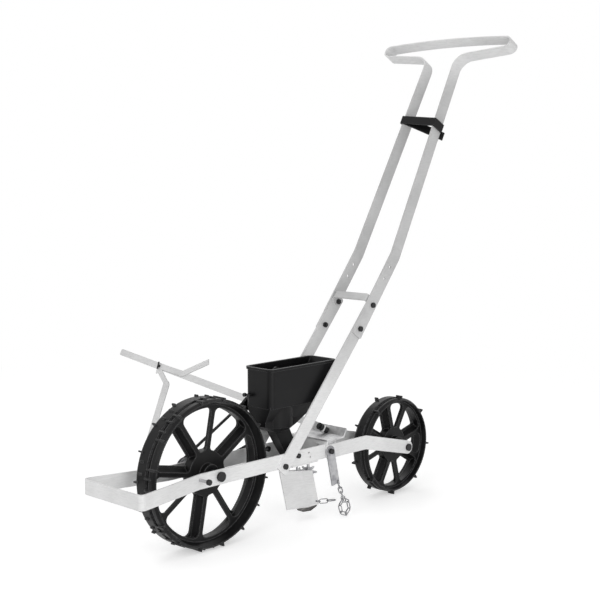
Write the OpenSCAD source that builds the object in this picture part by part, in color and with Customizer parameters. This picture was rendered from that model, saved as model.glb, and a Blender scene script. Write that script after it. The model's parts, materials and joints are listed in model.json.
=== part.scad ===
// Walk-behind row seeder.  X runs from the front wheel back to the operator,
// Y to the operator's right, Z up.  The origin is under the middle of the
// machine's box, on the ground.

/* [Wheels] */
// Distance between the two wheel axles
wheel_base = 551; // [520:1:600]
// Front wheel radius to the lug tips
front_wheel_r = 146.5; // [140:0.5:155]
// Rear wheel radius to the lug tips
rear_wheel_r = 109.7; // [105:0.1:115]
// Width of the front wheel over its rim
front_wheel_w = 56; // [50:1:60]
// Width of the rear wheel over its rim
rear_wheel_w = 43; // [38:1:50]
// Height of a lug above the crown of the rim
lug_h = 2.5; // [1.5:0.5:4]
// Thickness of a lug along the tread
lug_t = 3.2; // [2:0.2:5]
// Thickness of the crown of the rim
rim_t = 5; // [4:0.5:8]
// Radial height of the ring that carries the spokes
spoke_ring_h = 6.3; // [5:0.1:9]
// Half depth of the spoke section along the axle
spoke_half = 9.2; // [7:0.1:11]
// Thickness of a spoke flange
spoke_flange_t = 3.5; // [2.5:0.1:4]
// Width of a spoke flange on the front wheel
spoke_flange_w = 9.5; // [7:0.5:11]
// Sideways shift of a flange from the spoke's middle line
spoke_shift = 5.3; // [3:0.1:6]
// Thickness of the slanted web in a spoke
spoke_web_t = 3.5; // [2.5:0.1:4.5]
// Radius of the plain web around the front hub
front_web_r = 44; // [40:1:48]
// Radius of the plain web around the rear hub
rear_web_r = 38; // [33:1:40]
// Corner radius of the openings between the spokes
window_round = 6.5; // [3:0.5:7]
// How many times larger those corners are at the rim
window_flare = 1.7; // [1:0.1:1.9]
// Radius of the hub boss
hub_r = 19; // [16:0.5:22]
// Radius of the front axle rod
front_axle_r = 6; // [5:0.25:7]
// Radius of the rear axle bolt
rear_axle_r = 5; // [4:0.25:6]
// Side gap between a hub and the washer beside it
hub_gap = 0.3; // [0.2:0.05:0.6]
// Running clearance between a turning part and its pin
run_fit = 0.08; // [0.03:0.01:0.1]

/* [Frame] */
// Height of the flat bar of the frames
bar_h = 29; // [25:1:32]
// Thickness of the flat bar of the frames
bar_t = 3.2; // [2.5:0.1:4]
// Half width of the front frame over its rails
rail_y = 47; // [44:0.5:50]
// How far the middle of the rails lies below the front axle
rail_drop = 1; // [0:0.5:4]
// Distance from the front axle forward to the bend of the rails
flare_x = 50; // [40:1:60]
// Distance from the front axle forward to the front bar
front_bar_x = 218; // [205:1:230]
// Half width of the front bar
front_bar_y = 84.6; // [78:0.2:95]
// Bend radius of the front corners
corner_r = 7; // [4:0.5:12]
// Distance from the front axle back to the rails' end faces
rail_end_x = 289; // [284:1:296]
// Length of the riveted flange at each rail end
flange_l = 26; // [20:1:30]
// Height of the rear frame's front wall
rear_wall_h = 34; // [31:1:38]
// Distance from the front axle back to the bend of the rear legs
leg_bend_x = 412; // [400:1:425]
// Radius of the frame rivets
rivet_r = 2.5; // [2:0.25:3]

/* [Handle] */
// Width of the handle bars
handle_w = 30; // [26:1:32]
// Thickness of the handle bars
handle_t = 3.2; // [2.5:0.1:3.6]
// Distance from the front axle back to the lower handle bolt
handle_foot_x = 168.7; // [160:0.1:180]
// Slope of the lower bars
lower_slope = 49.35; // [46:0.05:52]
// Distance along the lower bar to the first joint bolt
joint_near = 334; // [300:1:360]
// Distance between the two joint bolts
joint_pitch = 61; // [50:1:70]
// Slope of the upper bars below their bend
mid_slope = 52.5; // [50:0.5:56]
// Slope of the upper bars above their bend
top_slope = 61.4; // [58:0.2:65]
// Distance from the middle of the joint to the bend
bend_l = 155; // [140:1:175]
// Distance from the bend up to the grip loop
upper_l = 461; // [380:2:480]
// Half width between the bars where the loop starts
neck_y = 40; // [36:0.5:46]
// Half width of the grip loop
grip_y = 177; // [150:1:185]
// How far the return bars rise from the neck to the corners
return_slope_h = 11; // [6:1:14]
// Gap between the return bars and the grip at the corners
loop_gap = 25; // [22:1:32]
// How far the middle of the grip stands above its ends
grip_bow = 6; // [3:1:9]
// Radius of the bend where the bars turn outwards
neck_r = 30; // [24:1:34]
// Distance from the bend up to the middle of the clip
clip_at = 321; // [290:1:360]
// Radius of the spare holes in the bars
spare_r = 3.2; // [2.6:0.1:4]

/* [Hopper] */
// Distance from the front axle back to the hopper's front wall
hopper_x = 144; // [138:1:150]
// Length of the hopper at its rim
hopper_l = 188; // [170:1:200]
// Half width of the hopper
hopper_y = 36.7; // [30:0.1:40]
// Height of the hopper's rim above the ground
hopper_z = 330; // [315:1:350]
// Height of the hopper's shoulder above the ground
shoulder_z = 250; // [244:1:256]
// Wall thickness of the hopper
hopper_wall = 2.4; // [1.6:0.1:3]
// Corner radius of the hopper
hopper_round = 11; // [8:0.5:14]
// Radius of the bead around the rim
bead_r = 2.6; // [2:0.1:3.5]
// Distance from the front axle back to the seed shaft
seed_x = 190; // [186:0.5:196]
// Height of the seed shaft above the ground
seed_z = 218; // [214:0.5:222]
// Radius of the shaft that turns the seed roller
seed_shaft_r = 4; // [3:0.25:5]
// Radius of the seed roller
seed_roller_r = 17; // [15:0.25:19]
// Number of seed pockets around the roller
seed_pockets = 14; // [8:1:16]

/* [Drive] */
// Groove radius of the pulley on the front axle
drive_r = 16.5; // [14:0.5:22]
// Groove radius of the pulley on the seed shaft
driven_r = 46.5; // [40:0.5:48]
// Half the thickness and half the width of the belt
belt_r = 2.6; // [2:0.1:3]
// Height of a pulley flange above the middle of its groove
pulley_lip = 3.2; // [3:0.1:5]
// Gap between the pulleys and the bar beside them
pulley_gap = 1.2; // [0.8:0.1:2]

/* [Opener] */
// Distance from the front axle back to the opener's front edge, at its top
shoe_x = 201; // [196:1:206]
// Height of the opener's top edge above the ground
shoe_top = 112; // [108:1:116]
// Height of the opener's bottom edge above the ground
shoe_bottom = 26; // [22:1:32]
// How far the opener leans back from its top to its bottom
shoe_lean = 22; // [16:1:26]
// Thickness of the opener's sheet
shoe_t = 1.6; // [1.2:0.1:2.4]
// Half width of the opener at its crease
crease_y = 6; // [5:0.25:8]
// Half width of the opener at its rear edge
shoe_y = 18; // [16:0.5:22]
// Depth of the furrowing foot below the sheet
foot_h = 8; // [5:0.5:12]
// Radius of the stud that the opener slides on
stud_r = 3; // [2.5:0.25:4]

/* [Chain] */
// Length of the strap that carries the hanging chain, from its bolt
strap_l = 74; // [60:1:80]
// Radius of the chain wire
wire_r = 1.05; // [0.8:0.05:1.05]
// Length of a chain link along the middle of its wire
link_l = 21; // [21:0.1:21.4]
// Width of a chain link between the middles of its wire
link_w = 9; // [9:0.1:9.4]

/* [Marker] */
// Slope of the marker plate
marker_slope = 61; // [56:0.5:64]
// Width of the marker arm
arm_w = 16; // [13:0.5:20]
// Thickness of the marker arm
arm_t = 3; // [2:0.1:4]
// Length of the marker arm from its pivot
arm_l = 738; // [690:1:780]
// Angle of the marker arm above level, in the plane of its swing
arm_angle = 6.8; // [4:0.1:9]
// Distance from the pivot to the blade clamp
clamp_at = 575; // [540:1:600]
// Radius of the marker's pivot bolt
pivot_r = 4; // [3:0.25:5]

/* [Fasteners] */
// Radius of the handle bolts
bolt_r = 3; // [2.5:0.25:4]
// Radius of a handle bolt's head
bolt_head_r = 5.6; // [5:0.1:6.5]
// Height of a bolt head
bolt_head_h = 4.5; // [3:0.25:6]
// Height of a nut
nut_h = 5; // [4:0.25:6]

/* [Hidden] */
$fn = 48;
eps = 0.01;
// Round joints stop this far inside the strips they join
nick = 0.03;

// Heights and widths that follow from the sizes above
rail_z = front_wheel_r - rail_drop;
rail_bottom = rail_z - bar_h / 2;
rail_top = rail_z + bar_h / 2;
rail_in = rail_y - bar_t;
leg_y = rail_y + bar_t;
wall_top = rail_bottom + rear_wall_h;
leg_z = rail_z - 2;
lower_y = rail_y + handle_t;
upper_y = lower_y + handle_t;
rear_lug_h = 4.7;
rear_ring_h = 5;
front_open_r = front_wheel_r - lug_h - 18.4;
rear_open_r = rear_wheel_r - rear_lug_h - 13;
front_bush_r = front_axle_r + 2.5;
bush_flange = 1.5;
spacer_end = rail_in - bush_flange - hub_gap;

// Points on the side view of the handle, as [x, z]
function unit(a) = [cos(a), sin(a)];
function left(v) = [-v[1], v[0]];
foot_drop = 10;
foot_pt = [handle_foot_x, rail_z - foot_drop];
joint_a = foot_pt + unit(lower_slope) * joint_near;
joint_b = joint_a + unit(lower_slope) * joint_pitch;
joint_mid = (joint_a + joint_b) / 2;
bend_pt = joint_mid + unit(mid_slope) * bend_l;
bar_end = 14;
spare_a = joint_mid + unit(mid_slope) * 96;
spare_gap = 30;

// The loop in its own plane: [half width, distance up from the bend]
turn_r = loop_gap / 2;
rise_a = asin(return_slope_h / (grip_y - neck_y - neck_r));
bar_y = upper_y - handle_t / 2;
neck_c = [neck_y + neck_r, upper_l];
neck_end = neck_c + unit(90 + rise_a) * neck_r;
turn_y = grip_y - handle_t / 2 - turn_r;
return_l = (turn_y - neck_end[0] + turn_r * sin(rise_a)) / cos(rise_a);
turn_c = [turn_y, neck_end[1] + return_l * sin(rise_a) + turn_r * cos(rise_a)];
bow_r = (turn_y * turn_y + grip_bow * grip_bow) / (2 * grip_bow);
bow_a = asin(turn_y / bow_r);
bow_c = turn_c[1] - bow_r * cos(bow_a);
loop_top = bow_c + bow_r + turn_r + handle_t / 2;

// Frame of the marker plate and its swing
plate_c = [344, rail_top + 12.5];
marker_n = [-sin(marker_slope), cos(marker_slope)];
marker_m = unit(marker_slope);
arm_off = 16.5;
arm_end = 8;
arm_tip_y = (arm_l + arm_end) * cos(arm_angle);

// Middle of the machine's box
x_max = bend_pt[0] + loop_top * cos(top_slope) + handle_w / 2 * sin(top_slope);
mid_x = (x_max - front_bar_x) / 2;
mid_y = (arm_tip_y - grip_y) / 2;

// Opener and hopper
plate_t = 3.2;
plate_z = rail_bottom - plate_t;
stud_x = 286;
guide_x = 253;
guide_r = 2.2;
web_z = 94;
web_t = 3;
belt_gap = 0.3;
pulley_half = belt_r + belt_gap + 0.8;
belt_y = lower_y + pulley_gap + pulley_half;
shaft_clear = seed_shaft_r + run_fit;
outlet_z = 198;
strap_pt = [rail_end_x + 8.6, rail_z - 0.6];
strap_w = 22;
strap_t = 3;
strap_lean = 12.5;

module placed() { translate([-mid_x, -mid_y, 0]) children(); }

// Side view outline [x, z] given a thickness from y0 to y0 + t
module side(y0, t) {
  translate([0, y0 + t, 0]) rotate([90, 0, 0]) linear_extrude(t) children();
}

// Pin along Y between two values of y
module pin(x, z, r, y0, y1) {
  translate([x, y1, z]) rotate([90, 0, 0]) cylinder(r = r, h = y1 - y0);
}

// Straight strip of width w between two points
module strip(a, b, w) {
  d = b - a;
  translate(a) rotate(atan2(d[1], d[0])) translate([0, -w / 2]) square([norm(d), w]);
}

// Strip with softly rounded ends
module bar2d(a, b, w, over) {
  u = (b - a) / norm(b - a);
  strip(a - u * (over - 4), b + u * (over - 4), w);
  strip(a - u * over, b + u * over, w - 8);
  for (p = [a - u * (over - 4), b + u * (over - 4)], k = [-1, 1]) {
    translate(p + left(u) * k * (w / 2 - 4)) circle(4 - nick);
  }
}

// Ring sector around a centre, from angle a0 to a1, less than half a turn
module arc2d(c, r, t, a0, a1) {
  m = (a0 + a1) / 2;
  far = (r + t) * 2;
  sides = r > 300 ? 2000 : 96;
  translate(c) intersection() {
    difference() {
      circle(r + t / 2 - nick, $fn = sides);
      circle(r - t / 2 + nick, $fn = sides);
    }
    polygon([[0, 0], unit(a0) * far, unit((a0 + m) / 2) * far, unit(m) * far,
             unit((a1 + m) / 2) * far, unit(a1) * far]);
  }
}

module block(x0, x1, y0, y1, z0, z1) { translate([x0, y0, z0]) cube([x1 - x0, y1 - y0, z1 - z0]); }

// ---- wheels ----

function on_line(a, off, r) = unit(a) * sqrt(r * r - off * off) + left(unit(a)) * off;

// Opening between two spokes: spoke angles, edge offsets, radii, corner radii near the hub and near the rim
module opening2d(a0, o0, a1, o1, r0, r1, c0, c1) {
  p = on_line(a0, o0 + c0, r0 + c0);
  q = on_line(a0, o0 + c1, r1 - c1);
  s = on_line(a1, o1 - c1, r1 - c1);
  t = on_line(a1, o1 - c0, r0 + c0);
  n0 = left(unit(a0));
  n1 = left(unit(a1));
  grow = r1 / (r1 - c1);
  polygon([p - n0 * c0, q - n0 * c1, q * (grow - 0.0004), s * (grow - 0.0004), s + n1 * c1, t + n1 * c0,
           t * r0 / (r0 + c0), p * r0 / (r0 + c0)]);
  for (m = [p, t]) translate(m) circle(c0 - nick, $fn = 24);
  for (m = [q, s]) translate(m) circle(c1 - nick, $fn = 32);
  intersection() {
    circle(r1, $fn = 96);
    polygon([q * grow * 0.97, q * grow * 1.12, s * grow * 1.12, s * grow * 0.97]);
  }
}

// One face plate of a wheel: side is 1 on the left of the machine, -1 on the right
module spoke_plate(phase, web, open, round, flange, shift, side) {
  difference() {
    circle(open + 1, $fn = 96);
    for (i = [0:7]) {
      a = phase + 45 * i;
      lean = (i % 2 == 0) ? -1 : 1;
      opening2d(a, side * lean * shift + flange / 2, a + 45, -side * lean * shift - flange / 2,
                web, open, round, round * window_flare);
    }
  }
  circle(web, $fn = 96);
}

// Slanted web of one spoke, drawn outwards along X
module spoke_web(r0, r1, lean) {
  h = spoke_half - spoke_flange_t / 2;
  translate([r0, 0, 0]) rotate([90, 0, 90]) linear_extrude(r1 - r0)
    polygon([[lean * spoke_shift - spoke_web_t / 2, h], [lean * spoke_shift + spoke_web_t / 2, h],
             [-lean * spoke_shift + spoke_web_t / 2, -h], [-lean * spoke_shift - spoke_web_t / 2, -h]]);
}

// Rim section, as [radius, side]
module rim2d(crown, open, ring, w) {
  half = [[open, spoke_half], [open + ring, spoke_half], [open + ring + 0.5, spoke_half + 4.5],
          [crown - rim_t - 1.5, w / 2], [crown - rim_t + 0.5, w / 2], [crown - 0.5, w / 2 - 6], [crown, 0]];
  polygon(concat(half, [for (i = [5:-1:0]) [half[i][0], -half[i][1]]]));
}

// Lugs along one half of the tread, at the angles k around each of eight marks
module lugs(tip, crown, w, start, side, group) {
  intersection() {
    union() {
      for (g = [0:7], k = group) {
        outer = len(group) == 1 || abs(k) > 8;
        y0 = side > 0 ? (outer ? 5 : 2) : (outer ? w / 2 - 9 : 8);
        y1 = outer ? w / 2 : w / 2 - 10;
        rotate(start + 45 * g + k) translate([crown - 4, -lug_t / 2, side > 0 ? y0 : -y1]) cube([12, lug_t, y1 - y0]);
      }
    }
    translate([0, 0, -w]) cylinder(r = tip, h = 2 * w, $fn = 128);
  }
}

module wheel(tip, crown, w, web, open, ring, phase, near_lug, far_lug, hub, bore, hub_half, round, group) {
  difference() {
    union() {
      difference() {
        rotate_extrude($fn = 128) rim2d(crown, open, ring, w);
        translate([0, 0, 3]) difference() {
          cylinder(r = crown + 5, h = 9.6, $fn = 96);
          translate([0, 0, -1]) cylinder(r = crown - 3.5, h = 12, $fn = 96);
        }
      }
      translate([0, 0, spoke_half - spoke_flange_t]) linear_extrude(spoke_flange_t)
        spoke_plate(phase, web, open, round, spoke_flange_w, spoke_shift, 1);
      translate([0, 0, -spoke_half]) linear_extrude(spoke_flange_t)
        spoke_plate(phase, web, open, round, spoke_flange_w, spoke_shift, -1);
      for (i = [0:7]) rotate(phase + 45 * i) spoke_web(hub, open + 1, (i % 2 == 0) ? -1 : 1);
      translate([0, 0, -spoke_half]) cylinder(r = web, h = 2 * spoke_half, $fn = 96);
      translate([0, 0, -hub_half]) cylinder(r = hub, h = 2 * hub_half);
      lugs(tip, crown, w, near_lug, 1, group);
      lugs(tip, crown, w, far_lug, -1, group);
    }
    translate([0, 0, -w]) cylinder(r = bore, h = 2 * w);
  }
}

front_hub_half = 22;
rear_hub_half = 22;
rear_bush_r = rear_axle_r + 3;

module front_wheel() color([0.07, 0.07, 0.075]) placed() translate([0, 0, front_wheel_r]) rotate([90, 0, 0])
  wheel(front_wheel_r, front_wheel_r - lug_h, front_wheel_w, front_web_r, front_open_r, spoke_ring_h,
        33.7, -1.5, 32.25, hub_r, front_axle_r, front_hub_half, window_round, [-11.25, -4.5, 4.5, 11.25]);

module rear_wheel() color([0.07, 0.07, 0.075]) placed() translate([wheel_base, 0, rear_wheel_r])
  rotate([90, 0, 0])
  wheel(rear_wheel_r, rear_wheel_r - rear_lug_h, rear_wheel_w, rear_web_r, rear_open_r, rear_ring_h,
        15, 38, 15.5, hub_r, rear_bush_r, rear_hub_half, window_round - 1.5, [0]);

module front_axle() color([0.16, 0.16, 0.17]) placed() {
  pin(0, front_wheel_r, front_axle_r, -rail_y - bush_flange - 1, belt_y + pulley_half + nut_h + 1);
  pin(0, front_wheel_r, 9.5, -rail_y - bush_flange - 4.5, -rail_y - bush_flange - 0.5);
}

module front_axle_nut() color([0.2, 0.2, 0.21]) placed() difference() {
  translate([0, belt_y + pulley_half, front_wheel_r]) rotate([-90, 0, 0]) cylinder(r = 9, h = nut_h, $fn = 6);
  pin(0, front_wheel_r, front_axle_r, belt_y, belt_y + 20);
}

module axle_spacer() color([0.2, 0.2, 0.21]) placed() for (y = [-spacer_end, front_hub_half]) difference() {
  pin(0, front_wheel_r, front_axle_r + 3, y, y + spacer_end - front_hub_half);
  pin(0, front_wheel_r, front_axle_r, y - 1, y + 30);
}

// Flanged bushes pressed into the rails
module axle_bushes() color([0.1, 0.1, 0.1]) placed() for (k = [-1, 1]) difference() {
  union() {
    pin(0, front_wheel_r, front_bush_r, min(k * rail_in, k * (rail_y + 0.5)), max(k * rail_in, k * (rail_y + 0.5)));
    pin(0, front_wheel_r, front_bush_r + 2.5, min(k * (rail_in - bush_flange), k * rail_in),
        max(k * (rail_in - bush_flange), k * rail_in));
  }
  pin(0, front_wheel_r, front_axle_r + run_fit, -rail_y - 5, rail_y + 5);
}

module rear_hub_bush() color([0.25, 0.25, 0.26]) placed() difference() {
  pin(wheel_base, rear_wheel_r, rear_bush_r, -rear_hub_half, rear_hub_half);
  pin(wheel_base, rear_wheel_r, rear_axle_r + run_fit, -rear_hub_half - 1, rear_hub_half + 1);
}

module rear_axle() color([0.14, 0.14, 0.15]) placed() {
  pin(wheel_base, rear_wheel_r, rear_axle_r, -leg_y, leg_y + nut_h + 2);
  pin(wheel_base, rear_wheel_r, 8, -leg_y - 4, -leg_y);
}

module rear_axle_nut() color([0.2, 0.2, 0.21]) placed() difference() {
  translate([wheel_base, leg_y, rear_wheel_r]) rotate([-90, 0, 0]) cylinder(r = 8, h = nut_h, $fn = 6);
  pin(wheel_base, rear_wheel_r, rear_axle_r, leg_y - 1, leg_y + 10);
}

module rear_spacers() color([0.45, 0.45, 0.46]) placed() for (y = [-leg_y + bar_t, rear_hub_half + hub_gap]) difference() {
  pin(wheel_base, rear_wheel_r, rear_axle_r + 3, y, y + leg_y - bar_t - rear_hub_half - hub_gap);
  pin(wheel_base, rear_wheel_r, rear_axle_r, y - 1, y + 40);
}

// ---- frames ----

// Plan view of one half of the front frame's bar, on the middle of its thickness
module front_half2d() {
  yc = rail_y - bar_t / 2;
  fy = front_bar_y - bar_t / 2;
  fx = -front_bar_x + bar_t / 2;
  flare = atan2(fy - yc, flare_x + fx);
  strip([fx, -eps], [fx, fy - corner_r + 0.4], bar_t);
  arc2d([fx + corner_r, fy - corner_r], corner_r, bar_t, 90, 180);
  strip([fx + corner_r - 0.4, fy], [fx + corner_r + 3, fy], bar_t);
  strip([fx + corner_r + 3, fy], [-flare_x, yc], bar_t);
  translate([fx + corner_r + 3, fy]) circle(bar_t / 2 - nick);
  translate([-flare_x, yc]) circle(bar_t / 2 - nick);
  strip([-flare_x, yc], [rail_end_x - bar_t / 2, yc], bar_t);
  translate([rail_end_x - bar_t / 2, yc]) circle(bar_t / 2 - nick);
  strip([rail_end_x - bar_t / 2, yc], [rail_end_x - bar_t / 2, rail_y - flange_l], bar_t);
}

small_holes = [[240, 5], [244, -4]];

module front_frame() color([0.86, 0.86, 0.87]) placed() difference() {
  translate([0, 0, rail_bottom]) linear_extrude(bar_h) {
    front_half2d();
    mirror([0, 1]) front_half2d();
  }
  pin(0, front_wheel_r, front_bush_r, -rail_y - 1, rail_y + 1);
  pin(-standoff_x, rail_z + 4, bolt_r, -rail_y - 1, -rail_in + 1);
  pin(foot_pt[0], foot_pt[1], bolt_r, -rail_y - 1, rail_y + 1);
  pin(bracket_bolt[0], bracket_bolt[1], bolt_r, -rail_y - 1, rail_y + 1);
  for (h = small_holes) pin(h[0], rail_z + h[1], 2, -rail_y - 1, rail_y + 1);
  rivets(rivet_r, rail_end_x - 8, rail_end_x + 1);
}

// Pins through the rail flanges and the rear frame's front wall
module rivets(r, x0, x1) {
  for (k = [-1, 1], h = [-8, 8]) {
    translate([x0, k * (rail_y - flange_l + 9), rail_z + h]) rotate([0, 90, 0]) cylinder(r = r, h = x1 - x0);
  }
}

module frame_rivets() color([0.75, 0.75, 0.76]) placed() {
  rivets(rivet_r, rail_end_x - bar_t, rail_end_x + bar_t);
  rivets(rivet_r + 2, rail_end_x - bar_t - 1.6, rail_end_x - bar_t);
  rivets(rivet_r + 2, rail_end_x + bar_t, rail_end_x + bar_t + 1.6);
}

// Side view of one rear leg, without its front wall
module leg2d() {
  z0 = leg_z;
  axle = [wheel_base, rear_wheel_r];
  bend = [leg_bend_x, z0];
  u = (axle - bend) / norm(axle - bend);
  difference() {
    union() {
      strip([rail_end_x + bar_t, z0], bend, bar_h);
      translate(bend) circle(bar_h / 2 - nick);
      strip(bend, axle, bar_h);
      translate(axle) circle(bar_h / 2 - nick);
    }
    translate(axle) circle(rear_axle_r);
    translate(strap_pt) circle(bolt_r);
  }
}

module rear_frame() color([0.86, 0.86, 0.87]) placed() {
  for (y = [-leg_y, leg_y - bar_t]) side(y, bar_t) leg2d();
  difference() {
    block(rail_end_x, rail_end_x + bar_t, -leg_y, leg_y, rail_bottom, wall_top);
    rivets(rivet_r, rail_end_x - 1, rail_end_x + bar_t + 1);
  }
}

// ---- handle ----

standoff_x = 51;
bracket_bolt = [208, rail_z + 4.5];

module lower_bar(y0) {
  side(y0, handle_t) difference() {
    bar2d(foot_pt, joint_b, handle_w, bar_end);
    for (p = [foot_pt, joint_a, joint_b]) translate(p) circle(bolt_r);
  }
}

module lower_handle_left() color([0.86, 0.86, 0.87]) placed() lower_bar(-lower_y);
module lower_handle_right() color([0.86, 0.86, 0.87]) placed() lower_bar(rail_y);

// One half of the loop in its own plane
module loop_half2d() {
  lap = unit(rise_a) * 0.4;
  strip([bar_y, 0], [neck_y, upper_l], handle_t);
  translate([neck_y, upper_l]) circle(handle_t / 2 - nick);
  arc2d(neck_c, neck_r, handle_t, 90 + rise_a, 180);
  strip(neck_end - lap, neck_end + unit(rise_a) * return_l + lap, handle_t);
  arc2d(turn_c, turn_r, handle_t, -90 + rise_a, 0);
  arc2d(turn_c, turn_r, handle_t, -1, 90.5 - bow_a);
  arc2d([0, bow_c], bow_r + turn_r, handle_t, 90 - bow_a, 90.2);
}

module upper_handle() color([0.9, 0.9, 0.91]) placed() {
  for (y = [-upper_y, lower_y]) side(y, handle_t) difference() {
    u = unit(mid_slope);
    a = joint_a - u * 3;
    union() {
      bar2d(a, bend_pt - u * 10, handle_w, bar_end);
      strip(a, bend_pt, handle_w);
      translate(bend_pt) circle(handle_w / 2 - nick);
    }
    for (p = [joint_a, joint_b]) translate(p) circle(bolt_r);
    for (k = [0, 1]) translate(spare_a + u * k * spare_gap) circle(spare_r);
  }
  translate([bend_pt[0], 0, bend_pt[1]]) rotate([0, 180 - top_slope, 0]) rotate([0, 0, 90])
    translate([0, 0, -handle_w / 2]) linear_extrude(handle_w) {
      loop_half2d();
      mirror([1, 0]) loop_half2d();
    }
}

cross_t = 2;
cross_low = 1.5;
cross_high = 17;
cross_front = handle_w / 2 + 1;

cross_r = 5;

// Corners of the bend around point p, with n steps from angle a to angle b
function bend(p, r, a, b, n = 5) = [for (i = [0:n]) p + r * unit(a + (b - a) * i / n)];

// Outline of the bracket seen along the bars, as [across, distance in front of the bolts]
module bent2d(y, top, low) {
  p = [y - cross_r, top - cross_r];
  q = [cross_r - y, top - cross_r];
  polygon(concat([[-y, low]], bend(q, cross_r, 180, 90), bend(p, cross_r, 90, 0), [[y, low], [y - cross_t, low]],
                 bend(p, cross_r - cross_t, 0, 90), bend(q, cross_r - cross_t, 90, 180), [[cross_t - y, low]]));
}

// Cross bracket between the bars, its two ears held by the upper joint bolts
module handle_bracket() color([0.82, 0.82, 0.83]) placed() difference() {
  translate([joint_b[0], 0, joint_b[1]]) rotate([0, -mid_slope, 0]) intersection() {
    rotate([90, 0, 90]) translate([0, 0, -12]) linear_extrude(cross_high + 15)
      bent2d(rail_y, cross_front + cross_t, -14);
    side(-rail_y - 1, 2 * rail_y + 2) {
      polygon([[cross_high, cross_front + 3], [cross_low, cross_front + 3], [-8, 3], [-7.5, -4], [-4, -7.5], [0, -8.5], [4, -7.5], [7.5, -4]]);
    }
  }
  pin(joint_b[0], joint_b[1], bolt_r, -rail_y - 1, rail_y + 1);
}

module joint_bolts() color([0.1, 0.1, 0.1]) placed() for (p = [joint_a, joint_b], k = [-1, 1]) {
  shank(p, k, rail_y - cross_t - nut_h - 1, upper_y);
  shank(p, k, upper_y, upper_y + bolt_head_h, bolt_head_r);
}

// Pin on one side of the machine, from half width y0 out to y1
module shank(p, k, y0, y1, r = bolt_r) { pin(p[0], p[1], r, min(k * y0, k * y1), max(k * y0, k * y1)); }

module nuts(p, k, y1) {
  difference() {
    translate([p[0], k * y1, p[1]]) rotate([k * 90, 0, 0]) rotate(30) cylinder(r = 5.8, h = nut_h, $fn = 6);
    shank(p, k, y1 - nut_h - 1, y1 + 1);
  }
}

module joint_nuts() color([0.3, 0.3, 0.31]) placed() for (k = [-1, 1]) {
  nuts(joint_a, k, rail_y);
  nuts(joint_b, k, rail_y - cross_t);
}

module rail_bolts() color([0.1, 0.1, 0.1]) placed() for (k = [-1, 1]) {
  shank(foot_pt, k, rail_in - nut_h - 1, lower_y);
  shank(foot_pt, k, lower_y, lower_y + bolt_head_h, bolt_head_r);
  shank(bracket_bolt, k, rail_in - plate_t - nut_h - 1, rail_y);
  shank(bracket_bolt, k, rail_y, rail_y + bolt_head_h, bolt_head_r - 0.6);
}

module rail_nuts() color([0.3, 0.3, 0.31]) placed() for (k = [-1, 1]) {
  nuts(foot_pt, k, rail_in);
  nuts(bracket_bolt, k, rail_in - plate_t);
}

module standoff_bolt() color([0.1, 0.1, 0.1]) placed() {
  p = [-standoff_x, rail_z + 4];
  shank(p, -1, rail_in - nut_h - 1, rail_y + 24);
  shank(p, -1, rail_y + 24, rail_y + 29, 5.5);
  nuts(p, -1, rail_in);
}

// Black plastic clip: a band over both upper bars, a wall beside the left one, and a tail that slants behind it
clip_h = 19;
clip_t = 3;
clip_tilt = 4;
tail_t = 2.6;
tail_end = 52;

module handle_clip() color([0.08, 0.08, 0.08]) placed()
  translate([bend_pt[0], 0, bend_pt[1]]) rotate([0, 180 - top_slope, 0]) rotate([0, 0, 90]) {
    y_in = bar_y + (neck_y - bar_y) * (clip_at - clip_h) / upper_l + handle_t / 2 + 0.3;
    y_out = y_in + clip_t;
    front = -handle_w / 2;
    low = clip_at - clip_h / 2;
    tail_a = [y_in - handle_t - 1.2, front - 1.4];
    tail_b = [-tail_end, handle_w / 2 + 6.5];
    translate([0, 0, front - clip_t]) linear_extrude(clip_t)
      polygon([[y_out, low + clip_tilt], [-y_out, low - clip_tilt], [-y_out, low - clip_tilt + clip_h], [y_out, low + clip_tilt + clip_h]]);
    translate([-y_out, low - clip_tilt, front - clip_t]) cube([clip_t, clip_h, handle_w + clip_t]);
    translate([y_in, low + clip_tilt, front - clip_t]) cube([clip_t, clip_h, 14]);
    intersection() {
      translate([0, clip_at + 40, 0]) rotate([90, 0, 0]) linear_extrude(100) strip(tail_a, tail_b, tail_t);
      translate([0, 0, -40]) linear_extrude(80)
        polygon([[tail_end, low + 6], [-tail_end, low - 20], [-tail_end, low - 20 + clip_h], [tail_end, low + 6 + clip_h]]);
    }
  }

// ---- hopper and seed gear ----

roller_half = 14;
hopper_rear = 295;
roller_gap = 0.4;
trough_y = 19.5;
ledge_y = 26.5;
cup_x = seed_x + 3;
cup_r = 34.5;
outlet_x = [seed_x - 9, seed_x + 9];
lip_h = 5;

module rounded(x0, x1, y, r) {
  translate([x0 + r, -y]) square([x1 - x0 - 2 * r, 2 * y]);
  translate([x0, -y + r]) square([x1 - x0, 2 * y - 2 * r]);
  for (x = [x0 + r, x1 - r], k = [-1, 1]) translate([x, k * (y - r)]) circle(r);
}

module upper_shell(w) {
  x0 = hopper_x + w;
  x1 = hopper_x + hopper_l - w;
  intersection() {
    translate([0, 0, shoulder_z - 20]) linear_extrude(hopper_z - shoulder_z + 30)
      rounded(x0, x1, hopper_y - w, hopper_round - w);
    side(-hopper_y, 2 * hopper_y)
      polygon([[x0, shoulder_z + w], [x0, hopper_z + (w > 0 ? 1 : 0)], [x1, hopper_z + (w > 0 ? 1 : 0)], [hopper_rear - w, shoulder_z + w]]);
  }
}

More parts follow.
